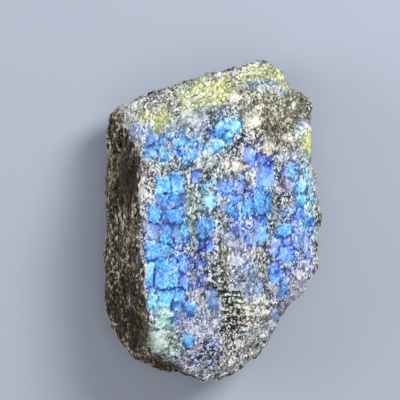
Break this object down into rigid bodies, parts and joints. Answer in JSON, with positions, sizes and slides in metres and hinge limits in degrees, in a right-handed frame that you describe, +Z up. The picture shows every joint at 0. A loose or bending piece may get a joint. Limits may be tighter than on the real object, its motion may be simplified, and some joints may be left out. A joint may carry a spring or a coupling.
{
  "type": "rough labradorite chunk",
  "caption": "Rough broken chunk of labradorite with one blue-flashing cleaved face, lying on its broad flat back.",
  "frame": {"origin": "centre of the stone's bounding box on the surface that it lies on, under the middle of its flat cleaved back", "axes": "+Z up out of the resting face towards the flashing face, +Y along the stone from its blunt toe to its peak, +X across it, away from the dark side"},
  "size_m": [0.0674, 0.0996, 0.0422],
  "materials": {
    "rough_labradorite": "rough broken feldspar: blue flashing cleavage panes and a yellow-green edge on the upper face, dark grey-brown crushed stone on the sides"
  },
  "bodies": {
    "root": {"labradorite_chunk": "rough_labradorite"}
  },
  "joints": []
}
